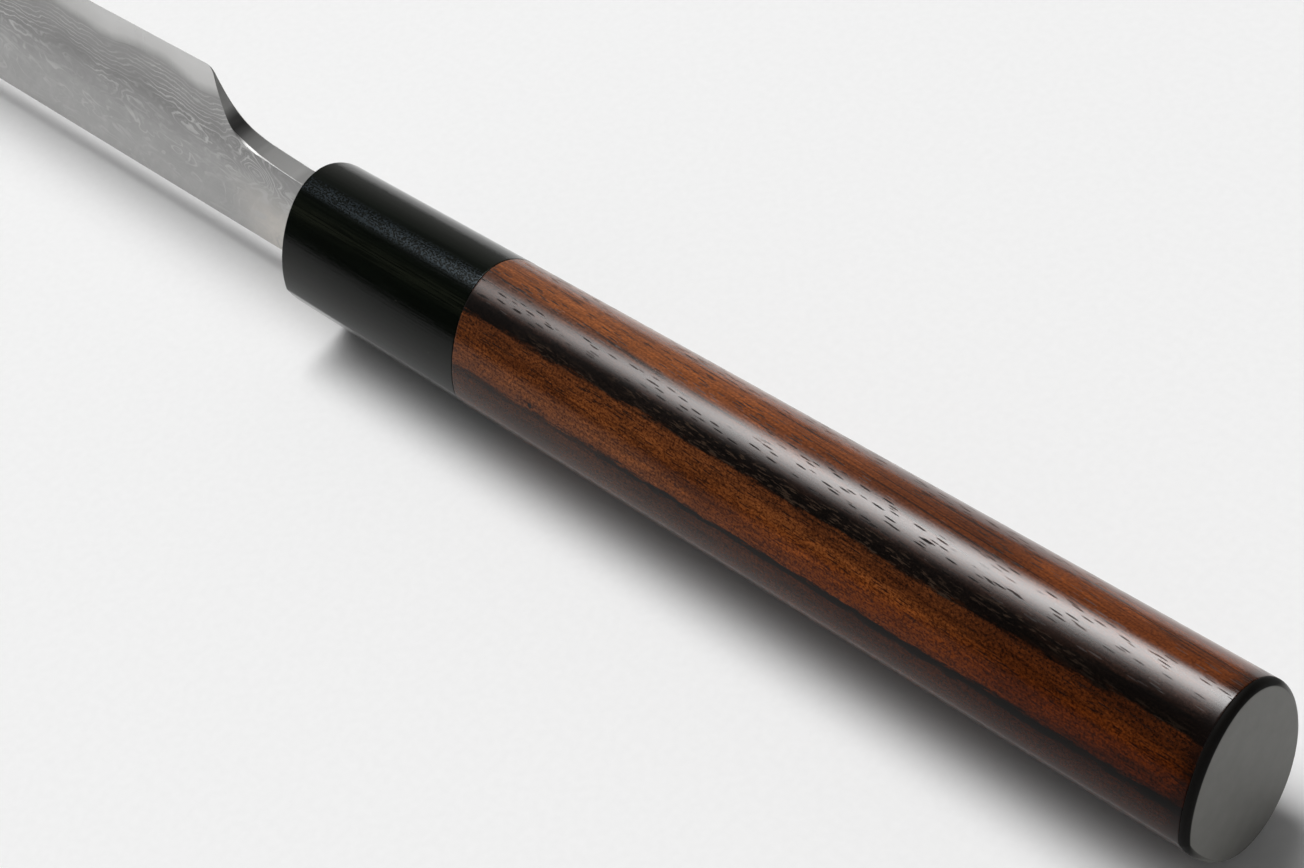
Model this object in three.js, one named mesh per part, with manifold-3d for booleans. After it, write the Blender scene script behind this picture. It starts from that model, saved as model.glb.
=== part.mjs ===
// Takohiki slicing knife: a laminated single-bevel blade in a ridged oval handle.
// Millimetres. The butt face is at x = 0 and the blade runs towards -X. The cutting edge
// is up (+Z), the bevelled side faces -Y and the hollow-ground back faces +Y.
import * as THREE from 'three';
import { mergeVertices } from 'three/addons/utils/BufferGeometryUtils.js';
import Module from 'manifold-3d';

const wasm = await Module();
wasm.setup();

// Handle lengths, from the butt forward
const capThickness = 1.0;
const gripLength = 110.2;
const ferruleLength = 34.8;

// Handle section: half height, and half width on the round side and on the ridge side
const mouthHalfHeight = 11.9;
const mouthRoundSide = 9.1;
const mouthRidgeSide = 9.34;
const buttHalfHeight = 12.0;
const buttRoundSide = 9.3;
const buttRidgeSide = 9.55;
const barrelSwell = 0.12;
const crownShift = 0.68;
const bellyDrop = 0.5;
const ridgeDrop = 1.4;
const roundFullness = 0.5523;
const crownFullness = 0.55;
const keelFullness = 0.6;
const overRidgeFullness = 0.43;
const underRidgeFullness = 0.06;
const ferruleRimRadius = 0.3;
const capRimRadius = 0.9;

// Blade
const edgeLength = 270;
const heelHeight = 26.9;
const tipHeight = 23.8;
const spineDrop = 7.0;
const heelThickness = 2.9;
const tipThickness = 2.3;
const coreThickness = 1.09;
const bevelWidth = 10.3;
const bevelRunOut = 9.5;
const edgeLand = 0.12;
const tipLean = 3.0;
const tipCornerRadius = 3.0;

// Heel corner, throat curve and neck
const neckLength = 20.4;
const mouthWall = 1.7;
const heelRound = 1.3;
const heelRun = 0.75;
const heelFall = 2.0;
const throatLean = 1.55;
const throatFoot = 2.0;
const throatPull = 3.9;
const throatReach = 9.4;
const neckRise = 0.5;
const throatSettle = 0.8;
const neckStraight = 3.0;

// Hollow back: a shallow trough inside flat rims
const hollowDepth = 0.3;
const hollowEdgeRim = 1.2;
const hollowSpineRim = 2.6;
const hollowEndRim = 5.0;
const hollowFade = 18.0;
const hollowSteps = 10;

// Tang and what holds it
const shoulderDepth = 4.0;
const tangLength = 94.0;
const tangRootHeight = 8.5;
const tangEndHeight = 4.5;
const sealWidth = 0.6;
const sealDepth = 3.0;
const ferruleFrontWall = 8.0;
const dowelDiameter = 13.0;
const dowelReach = 22.0;
const beddingWall = 1.6;
const beddingPastTang = 4.0;
const fit = 0.15;

// Facets and how far a cutter stands out of what it cuts
const sectionSteps = 16;
const roundSteps = 40;
const curveSteps = 10;
const rimSteps = 4;
const past = 2;

// Stations along the knife
const xCap = -capThickness;
const xJoint = xCap - gripLength;
const xMouth = xJoint - ferruleLength;
const xHeel = xMouth - neckLength;
const xTip = xHeel - edgeLength;
const xShoulder = xMouth + shoulderDepth;
const xTangEnd = xShoulder + tangLength;
const xFrontWall = xMouth + ferruleFrontWall;
const xDowelEnd = xJoint + dowelReach;
const xPocketEnd = xTangEnd + beddingPastTang;
const handleLength = -xMouth;

// Blade levels
const zSpine = -spineDrop;
const zHeel = zSpine + heelHeight;
const zTip = zSpine + tipHeight;
const zNeck = mouthHalfHeight - mouthWall;
const yBack = heelThickness / 2;
const yFront = -heelThickness / 2;
const yLamination = yBack - coreThickness;
const edgeSlope = (zHeel - zTip) / edgeLength;

const { lerp } = THREE.MathUtils;

// Height of the cutting edge's line at a station
function edgeHeight(x) {
  return zHeel + edgeSlope * (x - xHeel);
}

// Closed triangle mesh to solid and back
function solid(geometry) {
  const plain = geometry.clone();
  plain.deleteAttribute('normal');
  plain.deleteAttribute('uv');
  const merged = mergeVertices(plain, 1e-5);
  const mesh = new wasm.Mesh({
    numProp: 3,
    vertProperties: new Float32Array(merged.attributes.position.array),
    triVerts: new Uint32Array(merged.index.array),
  });
  return new wasm.Manifold(mesh);
}

function toGeometry(body) {
  const mesh = body.getMesh();
  const geometry = new THREE.BufferGeometry();
  geometry.setAttribute('position', new THREE.BufferAttribute(mesh.vertProperties, 3));
  geometry.setIndex(new THREE.BufferAttribute(mesh.triVerts, 1));
  geometry.computeVertexNormals();
  return geometry;
}

// Extrude an outline drawn in (y, z) along X, or one drawn in (x, z) across Y
const axisX = new THREE.Vector3(1, 0, 0);
const axisY = new THREE.Vector3(0, 1, 0);
const axisZ = new THREE.Vector3(0, 0, 1);

function alongX(shape, from, to) {
  const options = { depth: to - from, bevelEnabled: false, curveSegments: curveSteps };
  const geometry = new THREE.ExtrudeGeometry(shape, options);
  geometry.applyMatrix4(new THREE.Matrix4().makeBasis(axisY, axisZ, axisX));
  return geometry.translate(from, 0, 0);
}

function acrossY(shape, low, high) {
  const options = { depth: high - low, bevelEnabled: false, curveSegments: curveSteps };
  const geometry = new THREE.ExtrudeGeometry(shape, options);
  const towardsFront = axisY.clone().negate();
  geometry.applyMatrix4(new THREE.Matrix4().makeBasis(axisX, axisZ, towardsFront));
  return geometry.translate(0, high, 0);
}

function rectangle(left, bottom, right, top) {
  const corners = [[left, bottom], [right, bottom], [right, top], [left, top]];
  return new THREE.Shape(corners.map(([u, v]) => new THREE.Vector2(u, v)));
}

function box(low, high) {
  return alongX(rectangle(low[1], low[2], high[1], high[2]), low[0], high[0]);
}

function rod(radius, from, to) {
  const circle = new THREE.Shape().absarc(0, 0, radius, 0, 2 * Math.PI);
  return alongX(new THREE.Shape(circle.getPoints(roundSteps).slice(0, -1)), from, to);
}

// Skin over rings of (y, z) points at rising stations, each ring counter-clockwise seen from +X
function loft(rings) {
  const count = rings[0].points.length;
  const positions = [];
  const faces = [];
  for (const ring of rings) {
    for (const point of ring.points) positions.push(ring.x, point.x, point.y);
  }
  for (let i = 0; i < rings.length - 1; i += 1) {
    for (let j = 0; j < count; j += 1) {
      const a = i * count + j;
      const b = i * count + ((j + 1) % count);
      faces.push(a, b, b + count, a, b + count, a + count);
    }
  }
  const last = (rings.length - 1) * count;
  for (const [a, b, c] of THREE.ShapeUtils.triangulateShape(rings[0].points, [])) {
    faces.push(a, c, b);
  }
  for (const [a, b, c] of THREE.ShapeUtils.triangulateShape(rings[rings.length - 1].points, [])) {
    faces.push(last + a, last + b, last + c);
  }
  const geometry = new THREE.BufferGeometry();
  geometry.setAttribute('position', new THREE.Float32BufferAttribute(positions, 3));
  geometry.setIndex(faces);
  return geometry;
}

// Handle section: a round side, a ridge on the bevelled side, and a crown and keel between them
function handleRing(x, inset = 0) {
  const s = (x - xMouth) / handleLength;
  const grow = barrelSwell * 4 * s * (1 - s) - inset;
  const top = lerp(mouthHalfHeight, buttHalfHeight, s) + grow;
  const round = lerp(mouthRoundSide, buttRoundSide, s) + grow;
  const ridge = lerp(mouthRidgeSide, buttRidgeSide, s) + grow;
  const crownToRidge = crownShift - crownFullness * (ridge + crownShift);
  const keelToRidge = crownShift - keelFullness * (ridge + crownShift);
  const crownToRound = crownShift + roundFullness * (round - crownShift);
  const overRidge = overRidgeFullness * (top + ridgeDrop) - ridgeDrop;
  const underRidge = -underRidgeFullness * (top - ridgeDrop) - ridgeDrop;
  const outline = new THREE.Path();
  outline.moveTo(crownShift, top);
  outline.bezierCurveTo(crownToRidge, top, -ridge, overRidge, -ridge, -ridgeDrop);
  outline.bezierCurveTo(-ridge, underRidge, keelToRidge, -top, crownShift, -top);
  const lowerBelly = -bellyDrop - roundFullness * (top - bellyDrop);
  const upperBelly = -bellyDrop + roundFullness * (top + bellyDrop);
  outline.bezierCurveTo(crownToRound, -top, round, lowerBelly, round, -bellyDrop);
  outline.bezierCurveTo(round, upperBelly, crownToRound, top, crownShift, top);
  return { x, points: outline.getPoints(sectionSteps).slice(0, -1) };
}

// Handle rings over a span, with a rounded rim at one end where a radius is given
function handleSpan(from, to, steps, rim = {}) {
  const frontRadius = rim.front ?? 0;
  const backRadius = rim.back ?? 0;
  const rings = [];
  for (let i = 0; i < rimSteps && frontRadius > 0; i += 1) {
    const turn = (i / rimSteps) * (Math.PI / 2);
    const x = from + frontRadius * (1 - Math.sin(turn));
    rings.unshift(handleRing(x, frontRadius * (1 - Math.cos(turn))));
  }
  if (frontRadius > 0) rings.unshift(handleRing(from, frontRadius));
  for (let i = 0; i <= steps; i += 1) {
    const straightFrom = from + frontRadius;
    const straightTo = to - backRadius;
    if (i > 0 || frontRadius === 0) rings.push(handleRing(lerp(straightFrom, straightTo, i / steps)));
  }
  for (let i = 1; i <= rimSteps && backRadius > 0; i += 1) {
    const turn = (i / rimSteps) * (Math.PI / 2);
    const x = to - backRadius * (1 - Math.sin(turn));
    rings.push(handleRing(x, backRadius * (1 - Math.cos(turn))));
  }
  return rings;
}

// Tang: a tapered bar on the handle's axis, grown on every side where a pocket needs clearance
function tang(from, grow) {
  const slope = (tangRootHeight - tangEndHeight) / 2 / tangLength;
  const end = xTangEnd + grow;
  const halfRoot = tangRootHeight / 2 + slope * (xShoulder - from) + grow;
  const halfEnd = tangEndHeight / 2 + grow;
  const outline = new THREE.Shape();
  outline.moveTo(from, -halfRoot);
  outline.lineTo(end, -halfEnd);
  outline.lineTo(end, halfEnd);
  outline.lineTo(from, halfRoot);
  return acrossY(outline, yFront - grow, yBack + grow);
}

// Side outline of the blade and neck, up to the shoulder inside the ferrule
function bladeOutline() {
  const outline = new THREE.Shape();
  outline.moveTo(xShoulder, zSpine);
  outline.lineTo(xShoulder, zNeck);
  outline.lineTo(xMouth - neckStraight, zNeck);
  const neckEnd = xHeel + throatReach;
  outline.lineTo(neckEnd, zNeck + neckRise);
  const heelFoot = { x: xHeel + heelRun, z: zHeel - heelFall };
  const nearNeck = { x: xHeel + throatPull, z: zNeck + throatSettle };
  const nearHeel = { x: xHeel + throatLean, z: zNeck + throatFoot };
  outline.bezierCurveTo(nearNeck.x, nearNeck.z, nearHeel.x, nearHeel.z, heelFoot.x, heelFoot.z);
  outline.quadraticCurveTo(xHeel, zHeel, xHeel - heelRound, edgeHeight(xHeel - heelRound));
  outline.lineTo(xTip, edgeHeight(xTip));
  const lean = tipLean / tipHeight;
  const cornerTop = zSpine + tipCornerRadius;
  outline.lineTo(xTip + lean * (zTip - cornerTop), cornerTop);
  outline.quadraticCurveTo(xTip + tipLean, zSpine, xTip + tipLean + tipCornerRadius, zSpine);
  return outline;
}

// What the grinder takes off the bevelled side, running out up the throat
function bevelCutter() {
  const slope = (heelThickness - edgeLand) / bevelWidth;
  const reach = bevelWidth + past;
  const rise = bevelWidth / 2;
  const section = (x, lift) => {
    const top = edgeHeight(x) + lift;
    const outer = yBack - edgeLand - reach * slope;
    const inner = yBack - edgeLand;
    const corners = [[inner, top], [inner, top + past], [outer, top + past], [outer, top - reach]];
    return { x, points: corners.map(([y, z]) => new THREE.Vector2(y, z)) };
  };
  return loft([section(xTip - past, 0), section(xHeel, 0), section(xHeel + bevelRunOut, rise)]);
}

// The flat of the bevelled side, thinned towards the tip
function taperCutter() {
  const drop = (heelThickness - tipThickness) * ((edgeLength + past) / edgeLength);
  const outline = new THREE.Shape();
  outline.moveTo(xHeel, yFront);
  outline.lineTo(xTip - past, yFront + drop);
  outline.lineTo(xTip - past, yFront - past);
  outline.lineTo(xHeel, yFront - past);
  const options = { depth: heelHeight + 2 * past, bevelEnabled: false };
  return new THREE.ExtrudeGeometry(outline, options).translate(0, 0, zSpine - past);
}

// The trough in the back, fading out towards the tip and the heel
function hollowCutter() {
  const least = 0.02;
  const section = (x, depth) => {
    const low = zSpine + hollowSpineRim;
    const high = edgeHeight(x) - hollowEdgeRim;
    const points = [new THREE.Vector2(yBack + past, low), new THREE.Vector2(yBack + past, high)];
    for (let i = 0; i <= hollowSteps; i += 1) {
      const s = 1 - i / hollowSteps;
      const sink = depth * 4 * s * (1 - s);
      points.push(new THREE.Vector2(yBack - sink, lerp(low, high, s)));
    }
    return { x, points };
  };
  const tipEnd = xTip + tipLean + hollowEndRim;
  const heelEnd = xHeel - hollowEndRim;
  return loft([
    section(tipEnd, least),
    section(tipEnd + hollowFade, hollowDepth),
    section(heelEnd - hollowFade, hollowDepth),
    section(heelEnd, least),
  ]);
}

const blade = solid(acrossY(bladeOutline(), yFront, yBack))
  .subtract(solid(taperCutter()))
  .subtract(solid(bevelCutter()))
  .subtract(solid(hollowCutter()))
  .add(solid(tang(xShoulder - past, 0)));
const coreLow = [xTip - past, yLamination, zSpine - past];
const coreHigh = [xShoulder, yBack + past, zHeel + past];
const coreRegion = solid(box(coreLow, coreHigh));

// Neck opening at the mouth, and the same opening with the seal round it
const neckSection = rectangle(yFront, zSpine, yBack, zNeck);
const sealSection = rectangle(yFront - sealWidth, zSpine - sealWidth, yBack + sealWidth, zNeck + sealWidth);

function ferrule() {
  const slot = alongX(sealSection, xMouth - past, xFrontWall + past);
  const socket = rod(dowelDiameter / 2 + fit, xFrontWall, xJoint + past);
  const body = solid(loft(handleSpan(xMouth, xJoint, 5, { front: ferruleRimRadius })));
  return toGeometry(body.subtract(solid(slot)).subtract(solid(socket)));
}

function mouthSeal() {
  const section = sealSection.clone();
  section.holes.push(neckSection);
  return alongX(section, xMouth, xMouth + sealDepth);
}

function ferruleDowel() {
  const circle = new THREE.Shape().absarc(0, 0, dowelDiameter / 2, 0, 2 * Math.PI);
  const section = new THREE.Shape(circle.getPoints(roundSteps).slice(0, -1));
  const halfSlot = tangRootHeight / 2 + fit;
  section.holes.push(rectangle(yFront - fit, -halfSlot, yBack + fit, halfSlot));
  return alongX(section, xFrontWall + fit, xDowelEnd);
}

// Blind pocket behind the dowel, and the set filler in it
const pocketHalfHeight = tangRootHeight / 2 + beddingWall;
const pocketHalfWidth = heelThickness / 2 + beddingWall;

function handleGrip() {
  const bore = rod(dowelDiameter / 2 + fit, xJoint - past, xDowelEnd + fit);
  const low = [xDowelEnd - past, -pocketHalfWidth, -pocketHalfHeight];
  const high = [xPocketEnd, pocketHalfWidth, pocketHalfHeight];
  const body = solid(loft(handleSpan(xJoint, xCap, 10)));
  return toGeometry(body.subtract(solid(bore)).subtract(solid(box(low, high))));
}

function tangBedding() {
  const low = [xDowelEnd + 2 * fit, fit - pocketHalfWidth, fit - pocketHalfHeight];
  const high = [xPocketEnd - fit, pocketHalfWidth - fit, pocketHalfHeight - fit];
  return toGeometry(solid(box(low, high)).subtract(solid(tang(xDowelEnd, fit))));
}

function endCap() {
  return loft(handleSpan(xCap, 0, 1, { back: capRimRadius }));
}

// Finishes
function paint(color, roughness, metalness) {
  return new THREE.MeshStandardMaterial({ color, roughness, metalness });
}
const patternedSteel = paint(0x9a9a9c, 0.38, 1);
const hardSteel = paint(0xb4b5b8, 0.3, 1);
const blackHorn = paint(0x0d0d0e, 0.32, 0);
const rosewood = paint(0x4a1f10, 0.25, 0);
const paleWood = paint(0xc9ad80, 0.7, 0);
const paleResin = paint(0xb9ab90, 0.5, 0);

const knife = new THREE.Group();
function addPiece(name, geometry, material) {
  const mesh = new THREE.Mesh(geometry, material);
  mesh.name = name;
  knife.add(mesh);
}

addPiece('blade_cladding', toGeometry(blade.subtract(coreRegion)), patternedSteel);
addPiece('blade_core', toGeometry(blade.intersect(coreRegion)), hardSteel);
addPiece('ferrule', ferrule(), blackHorn);
addPiece('mouth_seal', mouthSeal(), paleResin);
addPiece('ferrule_dowel', ferruleDowel(), paleWood);
addPiece('handle_grip', handleGrip(), rosewood);
addPiece('tang_bedding', tangBedding(), paleResin);
addPiece('end_cap', endCap(), blackHorn);

export default knife;
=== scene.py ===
# Takohiki slicing knife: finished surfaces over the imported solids.
# Metres. The butt face is at x = 0, the blade runs towards -X with its edge up (+Z),
# the bevelled side faces -Y and the hollow-ground back faces +Y.
import math

import bmesh
import bpy
from mathutils import Euler, Matrix, Vector, noise


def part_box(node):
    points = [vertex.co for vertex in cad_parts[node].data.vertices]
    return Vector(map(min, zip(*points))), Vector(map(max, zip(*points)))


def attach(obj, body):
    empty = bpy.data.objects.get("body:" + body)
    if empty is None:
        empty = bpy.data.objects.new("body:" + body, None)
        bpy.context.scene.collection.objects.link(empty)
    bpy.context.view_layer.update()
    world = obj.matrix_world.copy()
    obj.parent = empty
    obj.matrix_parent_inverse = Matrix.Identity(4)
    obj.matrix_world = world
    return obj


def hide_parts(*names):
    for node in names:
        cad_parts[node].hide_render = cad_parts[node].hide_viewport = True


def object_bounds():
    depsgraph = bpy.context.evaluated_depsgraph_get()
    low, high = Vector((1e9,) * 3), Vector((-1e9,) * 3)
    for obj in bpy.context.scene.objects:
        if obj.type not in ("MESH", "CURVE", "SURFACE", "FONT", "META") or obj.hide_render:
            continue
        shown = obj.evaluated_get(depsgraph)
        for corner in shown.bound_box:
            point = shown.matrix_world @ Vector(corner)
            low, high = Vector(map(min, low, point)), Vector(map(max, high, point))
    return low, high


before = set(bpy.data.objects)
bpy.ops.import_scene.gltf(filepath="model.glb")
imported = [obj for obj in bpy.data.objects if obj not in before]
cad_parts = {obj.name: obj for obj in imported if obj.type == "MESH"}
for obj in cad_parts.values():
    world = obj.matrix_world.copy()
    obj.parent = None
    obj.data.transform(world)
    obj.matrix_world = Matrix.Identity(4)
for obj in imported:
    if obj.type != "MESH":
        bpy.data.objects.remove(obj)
cad_low, cad_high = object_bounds()

MM = 0.001

# Stations along the knife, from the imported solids
MOUTH_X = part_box("ferrule")[0].x
JOINT_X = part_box("handle_grip")[0].x
CAP_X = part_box("end_cap")[0].x
BUTT_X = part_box("end_cap")[1].x
TIP_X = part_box("blade_core")[0].x
SHOULDER_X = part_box("blade_core")[1].x
TANG_END_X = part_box("blade_cladding")[1].x
FRONT_WALL_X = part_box("ferrule_dowel")[0].x
DOWEL_END_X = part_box("ferrule_dowel")[1].x
POCKET_END_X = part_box("tang_bedding")[1].x
FLOOR_Z = cad_low.z

# Handle section: a round side, a ridge on the bevelled side, and a crown and keel between them
MOUTH_HALF_HEIGHT = 11.9 * MM
MOUTH_ROUND_SIDE = 9.1 * MM
MOUTH_RIDGE_SIDE = 9.34 * MM
BUTT_HALF_HEIGHT = 12.0 * MM
BUTT_ROUND_SIDE = 9.3 * MM
BUTT_RIDGE_SIDE = 9.55 * MM
BARREL_SWELL = 0.12 * MM
CROWN_SHIFT = 0.68 * MM
BELLY_DROP = 0.5 * MM
RIDGE_DROP = 1.4 * MM
ROUND_FULLNESS = 0.5523
CROWN_FULLNESS = 0.55
KEEL_FULLNESS = 0.6
OVER_RIDGE_FULLNESS = 0.43
UNDER_RIDGE_FULLNESS = 0.06
SECTION_STEPS = 48
LOOP_SPACING = 2 * MM

# Rims and seams of the handle
FERRULE_RIM = 0.28 * MM
CAP_RIM = 0.85 * MM
SEAM_RIM = 0.1 * MM
RIM_SUPPORT = 0.15 * MM
FERRULE_RIM_STEPS = 10
CAP_RIM_STEPS = 16
SEAM_RIM_STEPS = 6
HAND_FINISH = 0.035 * MM
SANDING_ALONG = 45
SANDING_ACROSS = 160
SOCKET_RADIUS = 6.65 * MM
FIT = 0.15 * MM

# Blade
EDGE_LENGTH = 270 * MM
HEEL_X = TIP_X + EDGE_LENGTH
SPINE_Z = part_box("blade_core")[0].z
HEEL_Z = SPINE_Z + 26.9 * MM
TIP_Z = SPINE_Z + 23.8 * MM
NECK_Z = 10.2 * MM
BACK_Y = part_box("blade_core")[1].y
FRONT_Y = -BACK_Y
HEEL_THICKNESS = BACK_Y - FRONT_Y
TIP_THICKNESS = 2.3 * MM
CORE_THICKNESS = 1.09 * MM
BEVEL_WIDTH = 10.3 * MM
BEVEL_LIFT = 0.6 * MM
LIFT_START = 1.5 * MM
LIFT_RUN = 2.5 * MM
EDGE_LAND = 0.03 * MM
BEVEL_BLEND = 0.45 * MM
BEVEL_SLOPE = (HEEL_THICKNESS - EDGE_LAND) / BEVEL_WIDTH
EDGE_SLOPE = (HEEL_Z - TIP_Z) / EDGE_LENGTH
TIP_LEAN = 3 * MM
TIP_CORNER = 3 * MM
SPINE_ROUND = 0.28 * MM
BACK_CHAMFER = 0.12 * MM
BACK_CHAMFER_SHARE = 0.3

# Rows across the blade, steps along its outline, and halvings when a crossing is searched
CORNER_STEPS = 4
FLAT_ROWS = 6
BLEND_ROWS = 10
BEVEL_ROWS = 6
LAMINATION_ROWS = 10
BACK_ROWS = 22
TIP_STEPS = 10
EDGE_STEPS = 260
HEEL_STEPS = 26
THROAT_STEPS = 60
NECK_STEPS = 12
HALVINGS = 40

# Heel corner, throat curve and neck
HEEL_ROUND = 1.0 * MM
HEEL_RUN = 0.4 * MM
HEEL_FALL = 1.06 * MM
THROAT_LEAN = 2.2 * MM
THROAT_FOOT = 2.45 * MM
THROAT_PULL = 4.5 * MM
THROAT_REACH = 9.4 * MM
NECK_RISE = 0.63 * MM
THROAT_SETTLE = 1.4 * MM
NECK_STRAIGHT = 3.0 * MM
NECK_CHAMFER = 0.32 * MM
CHAMFER_START = 3.4 * MM
CHAMFER_SWELL = 3.0 * MM
CHAMFER_FADE = 8.0 * MM
CHAMFER_LEAST = 0.2
CHAMFER_PITCH = 0.42

# Hollow back
HOLLOW_DEPTH = 0.3 * MM
HOLLOW_EDGE_RIM = 1.2 * MM
HOLLOW_SPINE_RIM = 2.6 * MM
HOLLOW_END_RIM = 5 * MM
HOLLOW_FADE = 18 * MM

# Tang
TANG_ROOT_HEIGHT = 8.5 * MM
TANG_END_HEIGHT = 4.5 * MM

# Border of the hard core on the bevel: depth below the edge, and its forging waves
# as height, length and phase counted from the heel
BORDER_DEPTH = 3.88 * MM
BORDER_WAVES = (
    (0.55 * MM, 24.5 * MM, 0.124),
    (0.14 * MM, 67.0 * MM, 0.500),
    (0.09 * MM, 10.6 * MM, 0.852),
)
BORDER_FLAT_FROM = 9.5 * MM
BORDER_FULL_FROM = 7.0 * MM

# Meshes: points closer than this are joined, and faces that meet at more than this shade sharp
JOIN_DISTANCE = 0.0001 * MM
HANDLE_SHARP_DEGREES = 30
BLADE_SHARP_DEGREES = 8


def lerp(a, b, t):
    return a + (b - a) * t


def smooth(t):
    t = min(1.0, max(0.0, t))
    return t * t * (3 - 2 * t)


def cubic(points, t):
    """Point on a Bezier curve of four points in a plane."""
    weights = ((1 - t) ** 3, 3 * t * (1 - t) ** 2, 3 * t * t * (1 - t), t ** 3)
    return tuple(sum(w * p[axis] for w, p in zip(weights, points)) for axis in (0, 1))


def quadratic(points, t):
    """Point on a Bezier curve of three points in a plane."""
    weights = ((1 - t) ** 2, 2 * t * (1 - t), t * t)
    return tuple(sum(w * p[axis] for w, p in zip(weights, points)) for axis in (0, 1))


# Meshes

def new_object(name, mesh):
    piece = bpy.data.objects.new(name, mesh)
    bpy.context.scene.collection.objects.link(piece)
    return piece


def shade(mesh, sharp_degrees):
    """Smooth shading, broken where two faces meet at more than this angle."""
    mesh.shade_smooth()
    mesh.set_sharp_from_angle(angle=math.radians(sharp_degrees))


def loft(name, loops, around=False, sharp_degrees=HANDLE_SHARP_DEGREES):
    """Closed mesh over loops of equal length. The last loop joins the first one,
    or else a face closes each end."""
    build = bmesh.new()
    rows = [[build.verts.new(point) for point in loop] for loop in loops]
    count = len(rows[0])
    pairs = list(zip(rows, rows[1:]))
    if around:
        pairs.append((rows[-1], rows[0]))
    for low, high in pairs:
        for j in range(count):
            k = (j + 1) % count
            build.faces.new((low[j], low[k], high[k], high[j]))
    if not around:
        build.faces.new(reversed(rows[0]))
        build.faces.new(rows[-1])
    bmesh.ops.remove_doubles(build, verts=build.verts, dist=JOIN_DISTANCE)
    bmesh.ops.recalc_face_normals(build, faces=build.faces)
    mesh = bpy.data.meshes.new(name)
    build.to_mesh(mesh)
    build.free()
    shade(mesh, sharp_degrees)
    return new_object(name, mesh)


# Handle

def handle_section(x, inset=0.0):
    """Outline of the handle at a station, as (y, z) from the crown over the ridge and back."""
    s = (x - MOUTH_X) / (BUTT_X - MOUTH_X)
    grow = BARREL_SWELL * 4 * s * (1 - s) - inset
    top = lerp(MOUTH_HALF_HEIGHT, BUTT_HALF_HEIGHT, s) + grow
    round_side = lerp(MOUTH_ROUND_SIDE, BUTT_ROUND_SIDE, s) + grow
    ridge = lerp(MOUTH_RIDGE_SIDE, BUTT_RIDGE_SIDE, s) + grow
    to_ridge = CROWN_SHIFT - CROWN_FULLNESS * (ridge + CROWN_SHIFT)
    keel_to_ridge = CROWN_SHIFT - KEEL_FULLNESS * (ridge + CROWN_SHIFT)
    to_round = CROWN_SHIFT + ROUND_FULLNESS * (round_side - CROWN_SHIFT)
    over = OVER_RIDGE_FULLNESS * (top + RIDGE_DROP) - RIDGE_DROP
    under = -UNDER_RIDGE_FULLNESS * (top - RIDGE_DROP) - RIDGE_DROP
    lower = -BELLY_DROP - ROUND_FULLNESS * (top - BELLY_DROP)
    upper = -BELLY_DROP + ROUND_FULLNESS * (top + BELLY_DROP)
    crown = (CROWN_SHIFT, top)
    keel = (CROWN_SHIFT, -top)
    crest = (-ridge, -RIDGE_DROP)
    belly = (round_side, -BELLY_DROP)
    quarters = (
        (crown, (to_ridge, top), (-ridge, over), crest),
        (crest, (-ridge, under), (keel_to_ridge, -top), keel),
        (keel, (to_round, -top), (round_side, lower), belly),
        (belly, (round_side, upper), (to_round, top), crown),
    )
    return [cubic(quarter, i / SECTION_STEPS) for quarter in quarters for i in range(SECTION_STEPS)]


def handle_loop(x, inset=0.0):
    return [Vector((x, y, z)) for y, z in handle_section(x, inset)]


def turns():
    count = 4 * SECTION_STEPS
    return [2 * math.pi * i / count for i in range(count)]


def circle_loop(x, radius):
    return [Vector((x, -radius * math.sin(t), radius * math.cos(t))) for t in turns()]


def rectangle_loop(x, half_width, low, high):
    """Rectangle between two levels, with its points at the same turns as the circle's."""
    middle = (low + high) / 2
    half_height = (high - low) / 2
    loop = []
    for t in turns():
        y, z = -math.sin(t), math.cos(t)
        scale = 1 / max(abs(y) / half_width, abs(z) / half_height)
        loop.append(Vector((x, y * scale, middle + z * scale)))
    return loop


def rim_loops(x, radius, inward, steps=SEAM_RIM_STEPS):
    """Loops of a rounded rim that starts on the end face at x and runs inward (+1 or -1 in x)."""
    loops = []
    for i in range(steps + 1):
        turn = math.pi / 2 * i / steps
        station = x + inward * radius * (1 - math.sin(turn))
        loops.append(handle_loop(station, radius * (1 - math.cos(turn))))
    return loops[::-1]


def body_loops(start, end):
    """Plain loops between two stations, without the stations themselves, and one close to each end
    that keeps the rim's rounding out of the shading of the long faces."""
    count = max(2, round((end - start) / LOOP_SPACING))
    stations = [lerp(start, end, i / count) for i in range(1, count)]
    stations = [start + RIM_SUPPORT] + stations + [end - RIM_SUPPORT]
    return [handle_loop(station) for station in sorted(stations)]


def hand_finish(piece):
    """Sands a surface very slightly uneven along its length."""
    for vertex in piece.data.vertices:
        x, y, z = vertex.co
        wave = noise.noise(Vector((x * SANDING_ALONG, y * SANDING_ACROSS, z * SANDING_ACROSS)))
        middle = Vector((x, 0, 0))
        out = (vertex.co - middle).normalized()
        vertex.co = vertex.co - out * HAND_FINISH * (0.5 + 0.5 * wave)


def make_grip():
    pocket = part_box("tang_bedding")
    half_width = pocket[1].y + FIT
    half_height = pocket[1].z + FIT
    loops = [
        rectangle_loop(POCKET_END_X + FIT, half_width, -half_height, half_height),
        rectangle_loop(DOWEL_END_X + FIT, half_width, -half_height, half_height),
        circle_loop(DOWEL_END_X + FIT, SOCKET_RADIUS),
        circle_loop(JOINT_X, SOCKET_RADIUS),
    ]
    loops += rim_loops(JOINT_X, SEAM_RIM, 1)
    loops += body_loops(JOINT_X + SEAM_RIM, CAP_X - SEAM_RIM)
    loops += rim_loops(CAP_X, SEAM_RIM, -1)[::-1]
    grip = loft("rosewood_grip", loops)
    hand_finish(grip)
    return grip


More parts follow.
